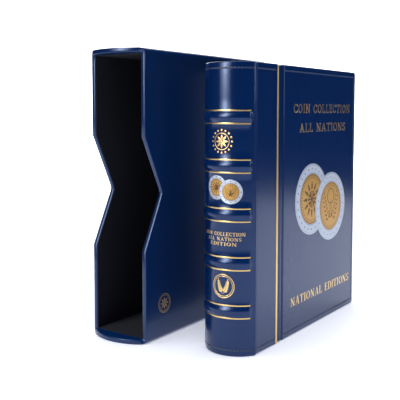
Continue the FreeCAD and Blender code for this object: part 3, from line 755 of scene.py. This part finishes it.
def case_loop():
    """Points round the slipcase: outer place, inner place and how far the mouth lies from its plane."""
    loop = []
    radius, inner_radius = CASE_CORNER, CASE_INNER_CORNER
    inner_half, inner_low, inner_high = CASE_HALF - CASE_WALL, CASE_CAP, CASE_TALL - CASE_CAP
    bow_radius = (CASE_HALF ** 2 + CASE_BULGE ** 2) / (2 * CASE_BULGE)
    tip, reach = (NOTCH_LOW + NOTCH_HIGH) / 2, (NOTCH_HIGH - NOTCH_LOW) / 2

    def curve(x):
        """The top and bottom bulge out of the mouth's plane."""
        return bow_radius - CASE_BULGE - math.sqrt(bow_radius ** 2 - x ** 2)

    def notch(z):
        """The sides are cut back to a slightly blunt tip."""
        return max(0.0, NOTCH_DEPTH * (1 - math.hypot(z - tip, 2.0) / reach))

    def corner(sx, sz, start):
        for angle in turned(False, 7, start, start + math.pi / 2):
            c, s = math.cos(angle), math.sin(angle)
            ox, oz = sx * (CASE_HALF - radius), (radius if sz < 0 else CASE_TALL - radius)
            ix = sx * (inner_half - inner_radius)
            iz = inner_low + inner_radius if sz < 0 else inner_high - inner_radius
            x = ox + radius * c
            loop.append((x, oz + radius * s, ix + inner_radius * c, iz + inner_radius * s, curve(x)))

    stops = (10, NOTCH_LOW, tip - 5, tip + 5, NOTCH_HIGH, CASE_TALL - 10)
    counts = (5, 6, 11, 6, 5)
    heights = sorted({z for a, b, count in zip(stops, stops[1:], counts) for z in np.linspace(a, b, count)})
    widths = list(np.linspace(-0.92, 0.92, 21) * inner_half)
    corner(-1, -1, math.pi)
    loop.extend((x, 0.0, x, inner_low, curve(x)) for x in widths)
    corner(1, -1, 1.5 * math.pi)
    loop.extend((CASE_HALF, z, inner_half, z, notch(z)) for z in heights)
    corner(1, 1, 0.0)
    loop.extend((x, CASE_TALL, x, inner_high, curve(x)) for x in reversed(widths))
    corner(-1, 1, 0.5 * math.pi)
    loop.extend((-CASE_HALF, z, -inner_half, z, notch(z)) for z in reversed(heights))
    return loop


def case_shell():
    """Runs from the inside's back out to the mouth, round its rim, and back over the outside."""
    loop = case_loop()
    radius = CASE_CORNER
    middle_z = CASE_TALL / 2

    def ring(share, y, follow=1.0, inset=0.0):
        """Points between the outer (0) and inner (1) surface, with the mouth's outline followed or not."""
        points = []
        for ox, oz, ix, iz, mouth in loop:
            x, z = ox + (ix - ox) * share, oz + (iz - oz) * share
            if abs(x) > CASE_HALF - 12:
                x -= math.copysign(inset, x)
            if abs(z - middle_z) > middle_z - 12:
                z -= math.copysign(inset, z - middle_z)
            points.append((CASE_X + x, y + mouth * follow, z))
        return points

    rings = [ring(1, CASE_BACK - CASE_WALL, 0.0), ring(1, CASE_MOUTH + 60, 0.0), ring(1, CASE_MOUTH + 1.2)]
    rim = ((0.99, 0.8), (0.93, 0.3), (0.8, 0.04), (0.6, 0.0),
           (0.4, 0.0), (0.2, 0.04), (0.07, 0.3), (0.01, 0.8))
    for share, back in rim:
        rings.append(ring(share, CASE_MOUTH + back))
    rings.append(ring(0, CASE_MOUTH + 1.2))
    rings.append(ring(0, CASE_MOUTH + 4.0))
    rings.append(ring(0, CASE_MOUTH + 60, 0.0))
    rings.append(ring(0, CASE_BACK - radius, 0.0))
    for angle in turned(False, 6, 0.3, math.pi / 2):
        rings.append(ring(0, CASE_BACK - radius * (1 - math.sin(angle)), 0.0, radius * (1 - math.cos(angle))))
    rings.append(ring(0, CASE_BACK, 0.0, radius + 0.5))
    shape = Shape()
    shape.loft(rings)
    return shape.build("slipcase_shell", [CASE_LEATHER])


shell = case_shell()
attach(shell, "slipcase")
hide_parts("case_right_wall", "case_left_wall", "case_top", "case_bottom", "case_back")

emblem = Shape()
seal = (10.0, 36.0)
hoop(emblem, case_place, seal, 9.6, 0.8, 0.12)
hoop(emblem, case_place, seal, 8.0, 0.45, 0.12)
rosette(emblem, case_place, seal, 6.4, 8, 0.16)
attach(emblem.build("slipcase_emblem", [GOLD]), "slipcase")


# --- Floor, backdrop, light and camera, in metres -------------------------------------------------------

SWEEP_STEPS = 60


def sweep(name, profile, start, end, finish):
    """A piece of the studio: a profile of (radius, height), turned about the object."""
    mesh = bpy.data.meshes.new(name)
    angles = turned(False, SWEEP_STEPS + 1, start, end)
    corners = [(r * math.cos(a), r * math.sin(a), z) for a in angles for r, z in profile]
    size = len(profile)
    faces = [(i * size + j, i * size + j + 1, (i + 1) * size + j + 1, (i + 1) * size + j)
             for i in range(SWEEP_STEPS) for j in range(size - 1)]
    mesh.from_pydata(corners, [], faces)
    mesh.materials.append(finish)
    obj = bpy.data.objects.new(name, mesh)
    bpy.context.scene.collection.objects.link(obj)
    return obj


# Over-lit white floor and backdrop. The room above them is dark, which keeps the covers' upper parts deep.
FLOOR = material("studio_floor", "#EEF0F6", Roughness=0.8, Emission_Color=linear("#DCE0F2"),
                 Emission_Strength=0.36)
WALL = material("studio_wall", "#FFFFFF", Roughness=1.0, Emission_Color=linear("#FFFFFF"),
                Emission_Strength=1.05)
FLOOR_RADIUS, WALL_RADIUS, WALL_HEIGHT = 1.3, 3.2, 3.0
BACKDROP_START, BACKDROP_END = math.pi / 2 + 0.1, math.pi / 2 + 1.1
wall = [(FLOOR_RADIUS, 0.0), (WALL_RADIUS, 0.0), (WALL_RADIUS, WALL_HEIGHT)]
sweep("studio_floor", [(0.001, 0.0), (FLOOR_RADIUS, 0.0)], 0.0, 2 * math.pi, FLOOR)
sweep("studio_backdrop", wall, BACKDROP_START, BACKDROP_END, WALL)
# The rest of the circle is only for the camera, so that it lights nothing and shows in no sheen.
surround = sweep("studio_surround", wall, BACKDROP_END, BACKDROP_START + 2 * math.pi, WALL)
surround.visible_diffuse = surround.visible_glossy = False


def lamp(name, place, aim, size, watts):
    data = bpy.data.lights.new(name, "AREA")
    data.shape = "RECTANGLE"
    data.size, data.size_y = size
    data.energy = watts
    obj = bpy.data.objects.new(name, data)
    obj.location = place
    obj.rotation_euler = (Vector(aim) - Vector(place)).to_track_quat("-Z", "Y").to_euler()
    bpy.context.scene.collection.objects.link(obj)
    return obj


lamp("overhead_softbox", (0.0, 0.0, 5.0), (0.0, 0.0, 0.0), (5.0, 5.0), 400).visible_glossy = False
lamp("spine_softbox", (-0.33, -1.25, 0.82), (0.0, 0.0, 0.3), (0.95, 1.2), 13).visible_diffuse = False
lamp("spine_strip_light", (-0.31, -1.15, 0.82), (0.0, 0.0, 0.3), (0.36, 1.1), 13).visible_diffuse = False
lamp("side_softbox", (1.45, 0.45, 0.75), (0.03, 0.06, 0.25), (0.4, 1.1), 7).visible_diffuse = False

world = bpy.data.worlds.new("studio_room")
world.use_nodes = True
world.node_tree.nodes["Background"].inputs["Color"].default_value = linear("#3A4258")
world.node_tree.nodes["Background"].inputs["Strength"].default_value = 0.5
bpy.context.scene.world = world
bpy.context.scene.view_settings.view_transform = "Standard"

CAMERA = Vector((0.36536, -0.54919, 0.23326))
TURN, PITCH = math.radians(35.364), math.radians(3.955)
view = Vector((-math.sin(TURN) * math.cos(PITCH), math.cos(TURN) * math.cos(PITCH), -math.sin(PITCH)))
lens = bpy.data.cameras.new("camera")
lens.sensor_width = 36.0
lens.lens = 62.99
lens.shift_y = -0.10
camera = bpy.data.objects.new("camera", lens)
camera.location = CAMERA
camera.rotation_euler = view.to_track_quat("-Z", "Y").to_euler()
bpy.context.scene.collection.objects.link(camera)
bpy.context.scene.camera = camera
